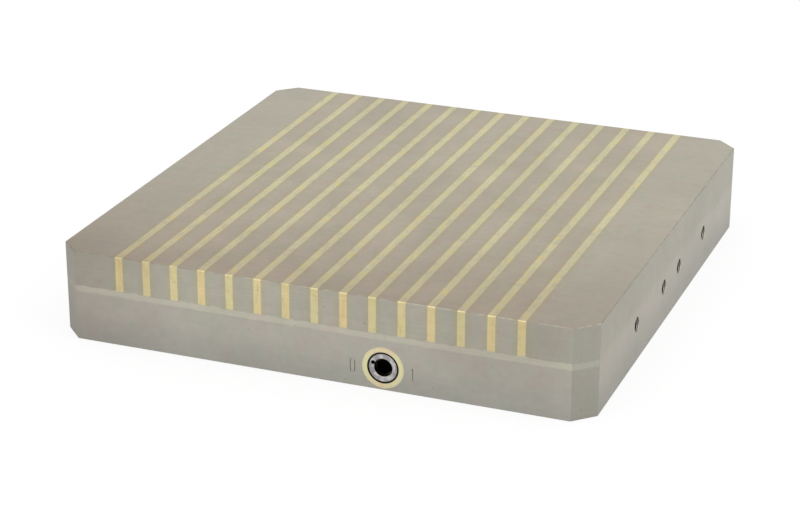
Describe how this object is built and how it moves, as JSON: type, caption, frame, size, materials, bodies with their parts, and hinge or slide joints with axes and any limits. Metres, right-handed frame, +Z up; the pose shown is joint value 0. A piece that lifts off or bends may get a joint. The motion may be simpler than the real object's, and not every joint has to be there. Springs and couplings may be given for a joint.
{
  "type": "permanent magnetic chuck",
  "caption": "Flat square holding block with parallel steel poles and brass strips; a hex key turns its shaft to slide the magnet pack inside and switch the grip on or off.",
  "frame": {"origin": "middle of the underside, on the surface the chuck stands on", "axes": "+Z up through the pole plate, -Y out of the face with the drive shaft, +X out of the face with the stop-rail holes; poles and strips run along Y"},
  "size_m": [0.3, 0.3, 0.051],
  "materials": {
    "ground_steel": "finely ground satin steel",
    "pole_steel": "finely ground satin steel",
    "brazed_seam": "ground brazing alloy, satin",
    "strip_brass": "ground brass, satin",
    "bush_brass": "turned brass, satin",
    "turned_steel": "turned and ground steel",
    "black_steel": "blackened steel",
    "black_rubber": "nitrile rubber",
    "bronze": "machined bronze",
    "aluminium": "milled aluminium",
    "ferrite": "sintered ferrite"
  },
  "bodies": {
    "housing": {"lower_body": "ground_steel", "seam_frame": "brazed_seam", "end_pole_left": "pole_steel", "end_pole_right": "pole_steel", "pole_bar_01": "pole_steel", "pole_bar_02": "pole_steel", "pole_bar_03": "pole_steel", "pole_bar_04": "pole_steel", "pole_bar_05": "pole_steel", "pole_bar_06": "pole_steel", "pole_bar_07": "pole_steel", "pole_bar_08": "pole_steel", "pole_bar_09": "pole_steel", "pole_bar_10": "pole_steel", "pole_bar_11": "pole_steel", "pole_bar_12": "pole_steel", "pole_bar_13": "pole_steel", "pole_bar_14": "pole_steel", "brass_strip_01": "strip_brass", "brass_strip_02": "strip_brass", "brass_strip_03": "strip_brass", "brass_strip_04": "strip_brass", "brass_strip_05": "strip_brass", "brass_strip_06": "strip_brass", "brass_strip_07": "strip_brass", "brass_strip_08": "strip_brass", "brass_strip_09": "strip_brass", "brass_strip_10": "strip_brass", "brass_strip_11": "strip_brass", "brass_strip_12": "strip_brass", "brass_strip_13": "strip_brass", "brass_strip_14": "strip_brass", "brass_strip_15": "strip_brass", "plate_screws": "black_steel", "dowel_pins": "turned_steel", "glide_strips": "bronze", "front_bush": "bush_brass", "shaft_seal": "black_rubber", "stop_screw": "black_steel"},
    "shaft": {"drive_shaft": "turned_steel"},
    "block": {"slide_block": "bronze"},
    "magnet_pack": {"drive_rail": "aluminium", "rear_rail": "aluminium", "pack_plate": "aluminium", "flux_bars": "ground_steel", "magnets": "ferrite", "rail_screws": "black_steel"}
  },
  "joints": [
    {"name": "shaft_turn", "type": "hinge", "parent": "housing", "child": "shaft", "pos_m": [0.038, -0.15, 0.0125], "axis": [0, 1, 0], "range_deg": [0, 180]},
    {"name": "block_turn", "type": "hinge", "parent": "shaft", "child": "block", "pos_m": [0.03399, -0.13, 0.0125], "axis": [0, 1, 0], "range_deg": [-180, 0]},
    {"name": "pack_slide", "type": "slide", "parent": "housing", "child": "magnet_pack", "axis": [1, 0, 0], "range_m": [0, 0.00803]}
  ],
  "couplings": [
    {"joint": "shaft_turn", "follows": "pack_slide", "rad_per_m": 391.48},
    {"joint": "block_turn", "follows": "pack_slide", "rad_per_m": -391.48}
  ]
}
